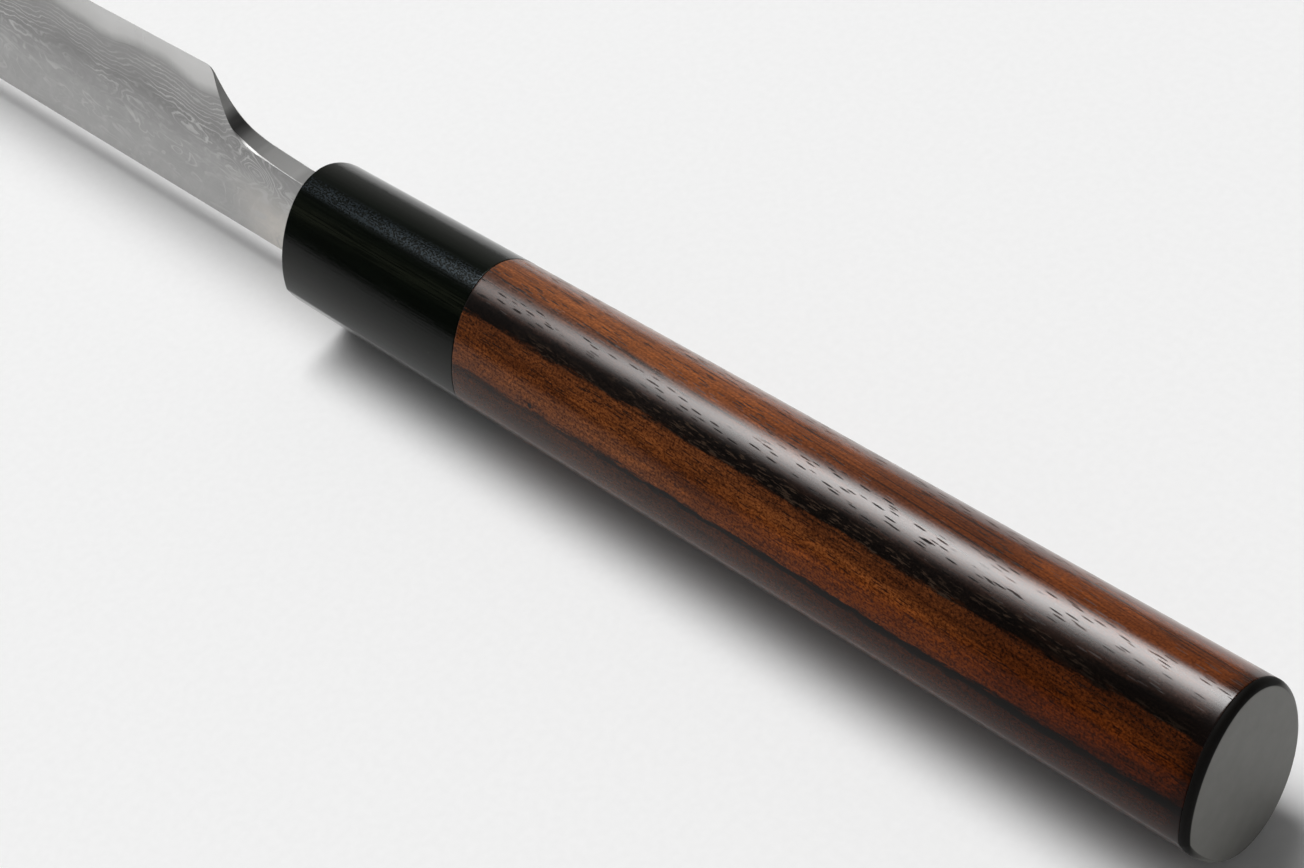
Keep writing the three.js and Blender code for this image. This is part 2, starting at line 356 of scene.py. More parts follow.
def make_ferrule():
    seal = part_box("mouth_seal")
    loops = rim_loops(MOUTH_X, FERRULE_RIM, 1, FERRULE_RIM_STEPS)
    loops += body_loops(MOUTH_X + FERRULE_RIM, JOINT_X - SEAM_RIM)
    loops += rim_loops(JOINT_X, SEAM_RIM, -1)[::-1]
    loops += [
        circle_loop(JOINT_X, SOCKET_RADIUS),
        circle_loop(FRONT_WALL_X - FIT, SOCKET_RADIUS),
        rectangle_loop(FRONT_WALL_X - FIT, seal[1].y, seal[0].z, seal[1].z),
        rectangle_loop(MOUTH_X, seal[1].y, seal[0].z, seal[1].z),
    ]
    return loft("black_ferrule", loops, around=True)


def make_butt_plate():
    loops = rim_loops(CAP_X, SEAM_RIM, 1)
    loops += rim_loops(BUTT_X, CAP_RIM, -1, CAP_RIM_STEPS)[::-1]
    return loft("butt_plate", loops)


# Blade

def edge_z(x):
    return HEEL_Z + EDGE_SLOPE * (x - HEEL_X)


def face_y(x):
    """The flat of the bevelled side, thinned towards the tip."""
    thinned = (HEEL_THICKNESS - TIP_THICKNESS) * max(0.0, HEEL_X - x) / EDGE_LENGTH
    return FRONT_Y + thinned


def bevel_y(x, z):
    """The ground bevel, which lifts a little past the heel and runs out along the neck."""
    lift = BEVEL_LIFT * smooth((x - HEEL_X - LIFT_START) / LIFT_RUN)
    return BACK_Y - EDGE_LAND - (edge_z(x) + lift - z) * BEVEL_SLOPE


def blended(rise):
    """The larger of a rise and zero, with the corner between them rounded off."""
    if abs(rise) >= BEVEL_BLEND:
        return max(0.0, rise)
    return (rise + BEVEL_BLEND) ** 2 / (4 * BEVEL_BLEND)


def head_line():
    """The edge side of the blade's outline from the tip to the shoulder, as (x, z)."""
    tip_run = TIP_LEAN + TIP_CORNER
    heel_start = HEEL_X - HEEL_ROUND
    heel_foot = (HEEL_X + HEEL_RUN, HEEL_Z - HEEL_FALL)
    neck_end = (HEEL_X + THROAT_REACH, NECK_Z + NECK_RISE)
    heel = ((heel_start, edge_z(heel_start)), (HEEL_X, HEEL_Z), heel_foot)
    near_heel = (HEEL_X + THROAT_LEAN, NECK_Z + THROAT_FOOT)
    near_neck = (HEEL_X + THROAT_PULL, NECK_Z + THROAT_SETTLE)
    throat = (heel_foot, near_heel, near_neck, neck_end)
    neck = (neck_end, (MOUTH_X - NECK_STRAIGHT, NECK_Z), (SHOULDER_X, NECK_Z))
    stations = [TIP_X + tip_run * i / TIP_STEPS for i in range(TIP_STEPS + 1)]
    stations += [lerp(stations[-1], heel_start, i / EDGE_STEPS) for i in range(1, EDGE_STEPS)]
    line = [(x, edge_z(x)) for x in stations]
    line += [quadratic(heel, i / HEEL_STEPS) for i in range(HEEL_STEPS + 1)]
    line += [cubic(throat, i / THROAT_STEPS) for i in range(1, THROAT_STEPS + 1)]
    for start, end in zip(neck, neck[1:]):
        line += [column_point(start, end, i / NECK_STEPS) for i in range(1, NECK_STEPS + 1)]
    return line


def spine_point(x):
    """Foot of a cross-section: the spine, turned up round the corner at the tip."""
    lean = TIP_LEAN / (TIP_Z - SPINE_Z)
    corner_top = SPINE_Z + TIP_CORNER
    t = (x - TIP_X) / (TIP_LEAN + TIP_CORNER)
    if t >= 1:
        return x, SPINE_Z
    start = (TIP_X + lean * (TIP_Z - corner_top), corner_top)
    corner = (TIP_X + TIP_LEAN, SPINE_Z)
    end = (TIP_X + TIP_LEAN + TIP_CORNER, SPINE_Z)
    return quadratic((start, corner, end), t)


def neck_chamfer(x):
    """Width of the filed chamfer along the neck, widest just past the throat."""
    past_start = x - HEEL_X - CHAMFER_START
    fade = lerp(1, CHAMFER_LEAST, smooth((past_start - CHAMFER_SWELL) / CHAMFER_FADE))
    return NECK_CHAMFER * smooth(past_start / CHAMFER_SWELL) * fade


def hollow_sink(x, z):
    """Depth of the trough in the back."""
    low = SPINE_Z + HOLLOW_SPINE_RIM
    high = edge_z(x) - HOLLOW_EDGE_RIM
    across = (z - low) / (high - low)
    from_tip = x - (TIP_X + TIP_LEAN + HOLLOW_END_RIM)
    from_heel = HEEL_X - HOLLOW_END_RIM - x
    fade = smooth(from_tip / HOLLOW_FADE) * smooth(from_heel / HOLLOW_FADE)
    return HOLLOW_DEPTH * fade * max(0.0, 4 * across * (1 - across))


def column_point(foot, head, t):
    """Point on the line between two points of the outline."""
    return lerp(foot[0], head[0], t), lerp(foot[1], head[1], t)


def border_depth(x):
    depth = BORDER_DEPTH
    for height, length, phase in BORDER_WAVES:
        depth += height * math.sin(2 * math.pi * ((HEEL_X - x) / length + phase))
    return depth


def lamination_y(x, z):
    """Where the core meets the cladding: level inside the blade, waved where the bevel cuts it."""
    level = BACK_Y - CORE_THICKNESS
    waved = BACK_Y - EDGE_LAND - border_depth(x) * BEVEL_SLOPE
    below = edge_z(x) - z
    share = smooth((BORDER_FLAT_FROM - below) / (BORDER_FLAT_FROM - BORDER_FULL_FROM))
    return lerp(level, waved, share)


def first_above(height, low, high):
    """Where a rising function passes zero between two limits, or else the upper limit."""
    if height(high) <= 0:
        return high
    for _ in range(HALVINGS):
        middle = (low + high) / 2
        if height(middle) > 0:
            high = middle
        else:
            low = middle
    return high


def spine_corner(foot, head, side, at):
    """Rounded corner of the spine, from the side face at a depth to the spine's underside."""
    height = head[1] - foot[1]
    points = []
    for i in range(CORNER_STEPS + 1):
        turn = math.pi / 2 * i / CORNER_STEPS
        x, z = column_point(foot, head, SPINE_ROUND * (1 - math.sin(turn)) / height)
        points.append(Vector((x, at - side * SPINE_ROUND * (1 - math.cos(turn)), z)))
    return points


def blade_sections(foot, head):
    """Closed cross-sections of the cladding and of the core, on a column from the spine to the edge."""
    height = head[1] - foot[1]
    chamfer = neck_chamfer(head[0])

    def at(share, y):
        x, z = column_point(foot, head, share)
        return Vector((x, y, z))

    def flat(share):
        return face_y(column_point(foot, head, share)[0])

    def bevel(share):
        return bevel_y(*column_point(foot, head, share))

    def ground(share):
        return flat(share) + blended(bevel(share) - flat(share))

    def laminated(share):
        return lamination_y(*column_point(foot, head, share))

    low = SPINE_ROUND / height
    brow = 1 - chamfer * CHAMFER_PITCH / height
    turn = first_above(lambda share: bevel(share) - flat(share), 0.0, brow)
    cut = first_above(lambda share: ground(share) - laminated(share), turn, 1.0)
    border = laminated(cut)
    top = min(cut, brow)
    blend = BEVEL_BLEND / BEVEL_SLOPE / height
    blend_low = max(low, turn - blend)
    blend_high = min(top, turn + blend)
    front_top = ground(brow) + chamfer
    core_top = max(front_top, border)
    back_chamfer = min(BACK_CHAMFER, BACK_CHAMFER_SHARE * (BACK_Y - core_top))

    def rows(start, end, count):
        return [lerp(start, end, i / count) for i in range(count + 1)]

    inner = [at(share, laminated(share)) for share in rows(cut, 0, LAMINATION_ROWS)]
    cladding = spine_corner(foot, head, -1, face_y(foot[0]))[::-1]
    face = rows(low, blend_low, FLAT_ROWS)[1:] + rows(blend_low, blend_high, BLEND_ROWS)[1:]
    face += rows(blend_high, top, BEVEL_ROWS)[1:]
    cladding += [at(share, ground(share)) for share in face]
    cladding.append(at(cut, min(front_top, border)))
    cladding += inner

    core = [at(share, lerp(border, core_top, i / BEVEL_ROWS))
            for i, share in enumerate(rows(cut, 1, BEVEL_ROWS))]
    core.append(at(1, BACK_Y - back_chamfer))
    for share in rows(1 - back_chamfer / height, low, BACK_ROWS)[:-1]:
        point = at(share, BACK_Y)
        point.y -= hollow_sink(point.x, point.z)
        core.append(point)
    core += spine_corner(foot, head, 1, BACK_Y)
    core += inner[:0:-1]
    return cladding, core


def tang_section(section, x, height):
    """The cladding's cross-section drawn out to the tang's height and the blade's full thickness."""
    low_y, high_y = min(p.y for p in section), max(p.y for p in section)
    low_z, high_z = min(p.z for p in section), max(p.z for p in section)
    loop = []
    for point in section:
        across = (point.y - low_y) / (high_y - low_y)
        up = (point.z - low_z) / (high_z - low_z)
        loop.append(Vector((x, lerp(FRONT_Y, BACK_Y, across), lerp(-height / 2, height / 2, up))))
    return loop


def make_blade_pieces():
    sections = [blade_sections(spine_point(head[0]), head) for head in head_line()]
    cladding_loops = [cladding for cladding, _ in sections]
    core_loops = [core for _, core in sections]
    shoulder = cladding_loops[-1]
    cladding_loops.append(tang_section(shoulder, SHOULDER_X, TANG_ROOT_HEIGHT))
    cladding_loops.append(tang_section(shoulder, TANG_END_X, TANG_END_HEIGHT))
    cladding = loft("patterned_cladding", cladding_loops, sharp_degrees=BLADE_SHARP_DEGREES)
    core = loft("hard_core", core_loops, sharp_degrees=BLADE_SHARP_DEGREES)
    return cladding, core


# Materials

def rgb(red, green, blue):
    return (red, green, blue, 1.0)


class Nodes:
    """Writes shader nodes in reading order. Sockets passed as values are linked."""

    def __init__(self, tree):
        self.tree = tree

    def add(self, kind, inputs=(), **settings):
        node = self.tree.nodes.new(kind)
        for key, value in settings.items():
            setattr(node, key, value)
        for key, value in dict(inputs).items():
            if isinstance(value, bpy.types.NodeSocket):
                self.tree.links.new(value, node.inputs[key])
            else:
                node.inputs[key].default_value = value
        return node

    def math(self, operation, a, b=0.0):
        return self.add("ShaderNodeMath", {0: a, 1: b}, operation=operation).outputs[0]

    def times(self, first, *others):
        """Product of two or more values."""
        for other in others:
            first = self.math("MULTIPLY", first, other)
        return first

    def vector_math(self, operation, a, b, output="Value"):
        return self.add("ShaderNodeVectorMath", {0: a, 1: b}, operation=operation).outputs[output]

    def span(self, value, low, high, to_low=0.0, to_high=1.0, even=False):
        """A value's rise between two limits, eased at both ends or even all along."""
        inputs = {"Value": value, "From Min": low, "From Max": high, "To Min": to_low, "To Max": to_high}
        kind = "LINEAR" if even else "SMOOTHSTEP"
        return self.add("ShaderNodeMapRange", inputs, interpolation_type=kind).outputs[0]

    def fall(self, value, low, high):
        """1 below the lower limit and 0 above the upper one."""
        return self.span(value, low, high, 1.0, 0.0)


class Recipe(Nodes):
    """The nodes of one material, laid out in the object's own coordinates."""

    def __init__(self, name):
        self.material = bpy.data.materials.new(name)
        self.material.use_nodes = True
        super().__init__(self.material.node_tree)
        self.tree.nodes.clear()
        self.origin = self.add("ShaderNodeTexCoord").outputs["Object"]
        self.place = self.origin

    def dot(self, direction):
        return self.vector_math("DOT_PRODUCT", self.place, direction)

    def normal(self, axis, kind="Normal"):
        """One axis of the direction that the surface faces."""
        facing = self.add("ShaderNodeNewGeometry").outputs[kind]
        return self.add("ShaderNodeSeparateXYZ", {0: facing}).outputs[axis]

    def stretched(self, scale, shift):
        """Place on the object, stretched by a scale per axis and shifted."""
        inputs = {"Vector": self.place, "Scale": scale, "Location": (shift, shift, shift)}
        return self.add("ShaderNodeMapping", inputs).outputs[0]

    def noise(self, place, detail, rough, warp):
        inputs = {"Vector": place, "Scale": 1.0, "Detail": detail, "Roughness": rough, "Distortion": warp}
        return self.add("ShaderNodeTexNoise", inputs).outputs[0]

    def grain(self, scale, detail=2.0, rough=0.5, shift=0.0, warp=0.0):
        """Noise stretched by a scale per axis, from 0 to 1."""
        return self.noise(self.stretched(scale, shift), detail, rough, warp)

    def cells(self, scale, shift=0.0):
        """Distance to the nearest of scattered points, stretched by a scale per axis."""
        inputs = {"Vector": self.stretched(scale, shift), "Scale": 1.0}
        return self.add("ShaderNodeTexVoronoi", inputs).outputs["Distance"]

    def slant(self, share):
        """Leans all later grain across the handle by this share of the length."""
        lean = self.times(self.dot((1, 0, 0)), share)
        shift = self.add("ShaderNodeCombineXYZ", {"Y": lean}).outputs[0]
        self.place = self.vector_math("ADD", self.place, shift, "Vector")

    def sweep(self, lean, along, across, detail=2.0, rough=0.5, shift=0.0, warp=0.0):
        """Noise in streaks that lean up from the blade's length, from 0 to 1."""
        run = self.dot((along * math.cos(lean), 0, along * math.sin(lean)))
        side = self.dot((-across * math.sin(lean), 0, across * math.cos(lean)))
        place = self.add("ShaderNodeCombineXYZ", {0: run, 1: side, 2: shift}).outputs[0]
        return self.noise(place, detail, rough, warp)

    def near(self, place, radius):
        """1 at a place, falling to 0 at a radius."""
        distance = self.vector_math("DISTANCE", self.origin, place)
        return self.fall(distance, 0.6 * radius, radius)

    def mix(self, share, a, b, blend="MIX"):
        node = self.add("ShaderNodeMix", {0: share, 6: a, 7: b}, data_type="RGBA", blend_type=blend)
        return node.outputs[2]

    def ramp(self, value, stops):
        """Colour by a value from 0 to 1."""
        node = self.add("ShaderNodeValToRGB", {0: value})
        elements = node.color_ramp.elements
        for element, (position, color) in zip(elements, stops):
            element.position = position
            element.color = color
        for position, color in stops[2:]:
            elements.new(position).color = color
        return node.outputs[0]

    def chart(self, value, low, high, stops):
        """Colour by a value between two limits, with the stops in the value's own unit."""
        share = self.span(value, low, high, even=True)
        return self.ramp(share, [((at - low) / (high - low), color) for at, color in stops])

    def vary(self, color, value, stops, share=1.0):
        """Multiplies a colour by a ramp of tints."""
        return self.mix(share, color, self.ramp(value, stops), "MULTIPLY")

    def bump(self, height, distance, strength=1.0, under=None):
        inputs = {"Height": height, "Distance": distance, "Strength": strength}
        if under is not None:
            inputs["Normal"] = under
        return self.add("ShaderNodeBump", inputs).outputs[0]

    def finish(self, **inputs):
        named = {key.replace("_", " "): value for key, value in inputs.items()}
        shader = self.add("ShaderNodeBsdfPrincipled", named)
        self.add("ShaderNodeOutputMaterial", {"Surface": shader.outputs[0]})
        return self.material


# Painted shade in the handle's reflection: its strength by the surface's lean from straight up
# towards the bevelled side, in degrees, turned down on the lower bevelled side so that this side
# stays dark as if shaded. The underside closes the round at the same strength as the back.
HALF_TURN = 180.0
WOOD_REFLECTION_SHADE = (
    (50, rgb(1.00, 1.00, 1.00)),
    (58, rgb(0.10, 0.10, 0.10)),
    (64, rgb(0.02, 0.02, 0.02)),
    (125, rgb(0.02, 0.02, 0.02)),
    (165, rgb(1.00, 1.00, 1.00)),
)
# Painted reflection and shade on the ferrule: bands of stronger and weaker reflection by lean.
FERRULE_REFLECTION_BANDS = (
    (-12, rgb(1.00, 1.00, 0.85)),
    (0, rgb(0.50, 0.53, 0.45)),
    (5, rgb(0.20, 0.27, 0.20)),
    (12, rgb(0.07, 0.09, 0.08)),
    (32, rgb(0.07, 0.08, 0.08)),
    (38, rgb(0.40, 0.44, 0.36)),
    (47, rgb(0.40, 0.44, 0.36)),
    (52, rgb(0.05, 0.05, 0.05)),
    (62, rgb(0.05, 0.05, 0.05)),
    (72, rgb(0.36, 0.36, 0.33)),
    (80, rgb(0.42, 0.42, 0.39)),
    (92, rgb(0.05, 0.05, 0.05)),
    (125, rgb(0.05, 0.05, 0.05)),
    (165, rgb(1.00, 1.00, 0.85)),
)


def surface_lean(make):
    """Lean of a handle surface from straight up towards the bevelled side, in degrees."""
    turn = make.math("ARCTAN2", make.times(make.normal("Y"), -1.0), make.normal("Z"))
    return make.times(turn, math.degrees(1))


# Rosewood: growth layers lean across the handle, and each stop is a layer's depth in millimetres
LAYER_LEAN = math.radians(45)
LAYER_REACH = 14.0
WOOD_LAYERS = (
    (-14.0, rgb(0.160, 0.046, 0.010)),
    (-9.6, rgb(0.205, 0.058, 0.012)),
    (-8.5, rgb(0.160, 0.045, 0.010)),
    (-7.6, rgb(0.070, 0.024, 0.011)),
    (-5.9, rgb(0.030, 0.012, 0.007)),
    (-4.9, rgb(0.0045, 0.0027, 0.0022)),
    (-3.35, rgb(0.0040, 0.0024, 0.0018)),
    (-2.85, rgb(0.080, 0.024, 0.007)),
    (0.4, rgb(0.140, 0.041, 0.010)),
    (2.2, rgb(0.150, 0.044, 0.010)),
    (3.6, rgb(0.108, 0.030, 0.007)),
    (4.6, rgb(0.044, 0.013, 0.004)),
    (7.6, rgb(0.052, 0.016, 0.005)),
    (9.0, rgb(0.030, 0.010, 0.004)),
    (14.0, rgb(0.100, 0.030, 0.008)),
)
VEIN_LAYER = 4.15
VEIN_HALF_WIDTH = 0.55
GRAIN_SLANT = 0.06
KNOT_PLACE = Vector((-96.8, -8.44, 3.9)) * MM
KNOT_RADIUS = 0.42 * MM
BLACK_BROWN = rgb(0.004, 0.002, 0.0015)
STREAK_BROWN = rgb(0.012, 0.005, 0.003)
DASH_BROWN = rgb(0.038, 0.024, 0.016)


def wood_layer(make):
    """Depth across the growth layers in millimetres, swaying along the grip and feathered."""
    across = (0, -math.cos(LAYER_LEAN) / MM, -math.sin(LAYER_LEAN) / MM)
    layer = make.dot(across)
    for scale, detail, shift, reach in (
            ((9, 50, 50), 1.0, 3.1, 0.22),
            ((110, 1400, 1400), 3.0, 7.7, 0.32),
            ((420, 2600, 2600), 2.0, 2.9, 0.24)):
        wander = make.span(make.grain(scale, detail, 0.6, shift), 0.2, 0.8, -reach, reach)
        layer = make.math("ADD", layer, wander)
    return layer


def wood_bands(make, layer, along):
    """Colour of the growth layers, with a dark vein and tinted zones along the grip. The darker crown is
    painted shade, and the darkening towards the butt is partly the wood's tone and partly painted shade.
    """
    color = make.chart(layer, -LAYER_REACH, LAYER_REACH, WOOD_LAYERS)
    off_vein = make.math("ABSOLUTE", make.math("SUBTRACT", layer, VEIN_LAYER))
    off_vein = make.times(off_vein, make.span(along, -62, -22, 1.0, 0.74))
    vein = make.fall(off_vein, 0.4 * VEIN_HALF_WIDTH, VEIN_HALF_WIDTH)
    vein = make.times(vein, make.span(along, -104, -72, 0.65, 1.0))
    color = make.mix(vein, color, BLACK_BROWN)

    # Painted shade: a darker crown along the middle of the grip, and a darker grip towards the butt that
    # is partly the wood's own tone.
    crown = make.fall(layer, -8.4, -7.4)
    shaded_crown = make.times(make.span(along, -72, -44), make.fall(along, -34, -22), crown)
    ruddy_side = make.times(make.span(along, -82, -48), make.span(layer, -1.0, 2.0))
    ruddy_crown = make.times(make.span(along, -90, -60), make.fall(layer, -8.0, -7.0))
    tone_and_shade_to_butt = make.times(make.span(along, -40, -20), make.span(layer, -8.0, -2.0, 0.35, 1.0))
    for zone, tint in (
            (shaded_crown, rgb(0.55, 0.52, 0.50)),
            (ruddy_side, rgb(0.92, 0.68, 0.28)),
            (ruddy_crown, rgb(0.96, 0.86, 0.66)),
            (tone_and_shade_to_butt, rgb(0.55, 0.44, 0.30))):
        color = make.mix(zone, color, tint, "MULTIPLY")
    return color


def wood_pores(make, layer, along):
    """Short open pores, most of them under the crown and fewer down the bevelled side."""
    pore = make.fall(make.cells((300, 3300, 3300), 2.0), 0.22, 0.32)
    patch = make.span(make.grain((34, 330, 330), 1.0, 0.5, 9.2), 0.30, 0.48)
    under_crown = make.times(make.fall(layer, -5.6, -5.2), make.span(along, -30, -16, 1.0, 0.5))
    middle = make.times(make.span(layer, -2.9, -2.5), make.span(layer, 0.0, 3.0, 0.8, 0.25))
    return make.times(pore, patch, make.math("ADD", under_crown, middle))


def rosewood():
    make = Recipe("rosewood")
    layer = wood_layer(make)
    along = make.dot((1 / MM, 0, 0))
    make.slant(GRAIN_SLANT)
    fibre = make.grain((110, 3800, 3800), 3.0, 0.7, 1.3)
    speckle = make.grain((3000, 4300, 4300), 2.0, 0.6, 6.6)
    cloud = make.grain((34, 300, 300), 3.0, 0.55, 4.2)

    color = wood_bands(make, layer, along)
    color = make.vary(color, cloud, [(0.3, rgb(0.60, 0.55, 0.50)), (0.7, rgb(1.42, 1.46, 1.46))])
    color = make.vary(color, fibre, [(0.28, rgb(0.50, 0.46, 0.44)), (0.72, rgb(1.46, 1.46, 1.46))])
    speckled = make.span(layer, -6.0, -3.0, 0.5, 1.0)
    color = make.vary(color, speckle, [
        (0.34, rgb(0.36, 0.32, 0.30)), (0.62, rgb(1.55, 1.55, 1.55))], speckled)
    streak = make.span(make.grain((30, 2300, 2300), 2.0, 0.5, 5.9), 0.59, 0.68)
    streak = make.times(streak, make.span(layer, -7.0, -3.0, 0.75, 0.4))
    color = make.mix(streak, color, STREAK_BROWN)
    at_plate = make.span(along, CAP_X / MM - 2.6, CAP_X / MM - 0.2)
    color = make.mix(make.times(at_plate, 0.7), color, BLACK_BROWN)
    in_dark = make.times(make.span(layer, -5.4, -4.9), make.fall(layer, -3.4, -3.0))
    dash = make.span(make.grain((640, 4300, 4300), 2.0, 0.6, 8.3), 0.52, 0.64)
    dash_patch = make.span(make.grain((26, 260, 260), 1.0, 0.5, 3.6), 0.44, 0.60)
    color = make.mix(make.times(dash, dash_patch, in_dark), color, DASH_BROWN)

    pore = wood_pores(make, layer, along)
    knot = make.near(KNOT_PLACE, KNOT_RADIUS)
    color = make.mix(make.times(knot, 0.92), color, BLACK_BROWN)
    color = make.mix(make.times(pore, 0.95), color, BLACK_BROWN)
    dull = make.times(pore, make.span(layer, -5.6, -3.0, 0.7, 0.1))
    rough = make.math("ADD", make.math("ADD", dull, 0.13), make.times(speckle, 0.08))
    relief = make.bump(fibre, 0.007 * MM, 0.5)
    relief = make.bump(speckle, 0.0025 * MM, 0.5, relief)
    # Painted shade: the handle's reflection is turned down on its lower bevelled side.
    polish_and_reflection_tint = make.chart(surface_lean(make), -HALF_TURN, HALF_TURN, WOOD_REFLECTION_SHADE)
    return make.finish(Base_Color=color, Roughness=rough, IOR=1.46, Specular_Tint=polish_and_reflection_tint, Normal=relief)


# Black wood: the painted highlight, a band of bluish specks where the lamp's highlight falls,
# and the olive cast lie at leans of the surface in degrees
PALE_SPECK = rgb(0.10, 0.10, 0.09)
OLIVE_BLACK = rgb(0.0085, 0.0100, 0.0060)
HIGHLIGHT_SPECK_BLUE = rgb(0.0115, 0.0150, 0.0175)
HIGHLIGHT_SPECK_POLISH = rgb(0.48, 0.64, 0.74)


def black_wood():
    make = Recipe("black_wood")
    fibre = make.grain((90, 4200, 4200), 3.0, 0.7, 4.4)
    broad = make.grain((14, 420, 420), 2.0, 0.5, 8.8)
    stipple = make.grain((1900, 4400, 4400), 2.0, 0.65, 2.7)
    color = make.ramp(fibre, [(0.3, rgb(0.0008, 0.0014, 0.0007)), (0.75, rgb(0.0036, 0.0054, 0.0032))])
    color = make.mix(make.times(broad, 0.5), color, rgb(0.0008, 0.0012, 0.0007))
    speck = make.fall(make.cells((420, 900, 900), 6.0), 0.045, 0.07)
    speck = make.times(speck, make.span(broad, 0.6, 0.66))
    color = make.mix(make.times(speck, 0.5), color, PALE_SPECK)

    lean = surface_lean(make)
    olive = make.times(make.span(lean, 36, 42), make.fall(lean, 44, 51), make.span(fibre, 0.35, 0.65))
    color = make.mix(olive, color, OLIVE_BLACK)
    speckle = make.span(make.grain((3000, 5200, 5200), 1.0, 0.5, 5.5), 0.49, 0.57)
    streaky_glint = make.span(make.grain((130, 4600, 4600), 2.0, 0.6, 1.9), 0.56, 0.66, 0.0, 0.8)
    # Painted highlight: bluish specks and stronger reflection in the band where the lamp's highlight
    # falls.
    lamp_side = make.times(make.span(lean, 7, 17), make.fall(lean, 25, 31))
    lamp_side = make.times(lamp_side, make.math("MAXIMUM", speckle, streaky_glint))
    color = make.mix(lamp_side, color, HIGHLIGHT_SPECK_BLUE)
    # Painted reflection and shade: the ferrule's reflection strength in bands by lean.
    polish_and_reflection_tint = make.chart(lean, -HALF_TURN, HALF_TURN, FERRULE_REFLECTION_BANDS)
    polish_and_reflection_tint = make.mix(lamp_side, polish_and_reflection_tint, HIGHLIGHT_SPECK_POLISH)
    rough = make.math("ADD", make.span(fibre, 0.25, 0.75, 0.06, 0.14), make.times(stipple, 0.06))
    relief = make.bump(fibre, 0.016 * MM, 0.8)
    relief = make.bump(stipple, 0.012 * MM, 0.8, relief)
    return make.finish(Base_Color=color, Roughness=rough, IOR=1.33, Specular_Tint=polish_and_reflection_tint, Normal=relief)


def end_plate():
    """A satin grey end face and a dull black rim, the rim grey too where it faces down or towards the
    back. The grey is partly the plate's own tone and partly painted reflection of the pale floor.
    """
    make = Recipe("end_plate")
    flat = make.span(make.normal("X"), 0.93, 0.985)
    # Painted reflection of the pale floor: the rim is grey where it faces down or towards the back, black
    # where it faces up or towards the bevelled side.
    lamp_side = make.math("SUBTRACT", make.times(make.normal("Z"), 0.85), make.times(make.normal("Y"), 0.52))
    face = make.math("MAXIMUM", flat, make.fall(lamp_side, -0.10, 0.12))
    cloud = make.grain((300, 500, 500), 3.0, 0.6, 2.2)
    rub = make.grain((300, 5200, 700), 2.0, 0.6, 6.1)
    grey = make.ramp(cloud, [(0.3, rgb(0.186, 0.184, 0.172)), (0.7, rgb(0.204, 0.202, 0.189))])
    black = make.ramp(cloud, [(0.3, rgb(0.0020, 0.0016, 0.0012)), (0.7, rgb(0.0040, 0.0030, 0.0022))])
    color = make.mix(face, black, grey)
    rough = make.math("ADD", make.span(face, 0.0, 1.0, 0.60, 0.40), make.times(rub, 0.08))
    relief = make.bump(rub, 0.004 * MM, 0.4)
    return make.finish(Base_Color=color, Roughness=rough, IOR=1.2, Normal=relief)


# Steel of the blade: tone of the filed wall by millimetres past the heel, and tone of the
# cladding by millimetres below the edge. Both are partly the steel's finish and partly painted
# shade and reflection.
NECK_TONES = ((1.0, 0.30), (2.2, 0.55), (3.2, 0.17), (4.2, 0.055), (5.2, 0.040), (6.5, 0.045),
              (8.5, 0.062), (9.5, 0.095), (10.5, 0.130), (16.0, 0.148), (18.2, 0.175))
NECK_REACH = 19.0
STEEL_TONES = ((0.0, 0.290), (4.0, 0.290), (6.5, 0.258), (9.5, 0.214), (11.5, 0.232), (14.2, 0.262),
               (14.9, 0.284), (15.5, 0.302), (18.0, 0.316), (21.0, 0.342), (24.0, 0.390), (27.0, 0.405))
STEEL_REACH = 27.0
LINE_STEEL = rgb(0.400, 0.397, 0.390)
THREAD_STEEL = rgb(0.450, 0.447, 0.440)

# The layers of the cladding lie along the blade, and the grind shows them as contour lines.
# Hills in the layers open into rings: place along the blade from the heel, height above the
# spine, reach along and across the blade, and rise through the layers, in millimetres.
LAYER_PITCH = 0.18
FINE_LINES_PER_LAYER = 2.7
THREADS_PER_SWIRL = 6
LAYER_HILLS = (
    (7.8, 13.2, 3.3, 3.6, 1.0),
    (-6.0, 15.7, 7.0, 1.2, 0.34),
    (-20.5, 14.6, 5.0, 1.4, 0.30),
    (-31.0, 16.0, 4.0, 1.4, 0.28),
)


def across_blade(make):
    """How far a surface faces the blade's sides, 1 on the flats and 0 on the spine and neck edge."""
    return make.math("ABSOLUTE", make.normal("Y", "True Normal"))


def past_heel(make):
    """Place along the blade in millimetres from the heel, positive towards the handle."""
    return make.math("SUBTRACT", make.dot((1 / MM, 0, 0)), HEEL_X / MM)


def below_edge(make):
    """Depth below the cutting edge in millimetres."""
    offset = (HEEL_Z - EDGE_SLOPE * HEEL_X) / MM
    return make.math("ADD", make.dot((EDGE_SLOPE / MM, 0, -1 / MM)), offset)


def neck_wall(make):
    """The filed wall of the throat and neck, painted with shade and reflection: a bright patch just past
    the heel, dark in the throat and paler towards the ferrule.
    """
    tones = [(station, rgb(tone, 0.995 * tone, 0.975 * tone)) for station, tone in NECK_TONES]
    return make.chart(past_heel(make), 0.0, NECK_REACH, tones)


def border_wave(make):
    """The forging waves of the core's border in millimetres, as on the mesh."""
    to_tip = make.times(past_heel(make), -1.0)
    total = 0.0
    for height, length, phase in BORDER_WAVES:
        turn = make.math("ADD", make.times(to_tip, 2 * math.pi * MM / length), 2 * math.pi * phase)
        wave = make.times(make.math("SINE", turn), height / MM)
        total = make.math("ADD", wave, total)
    return total


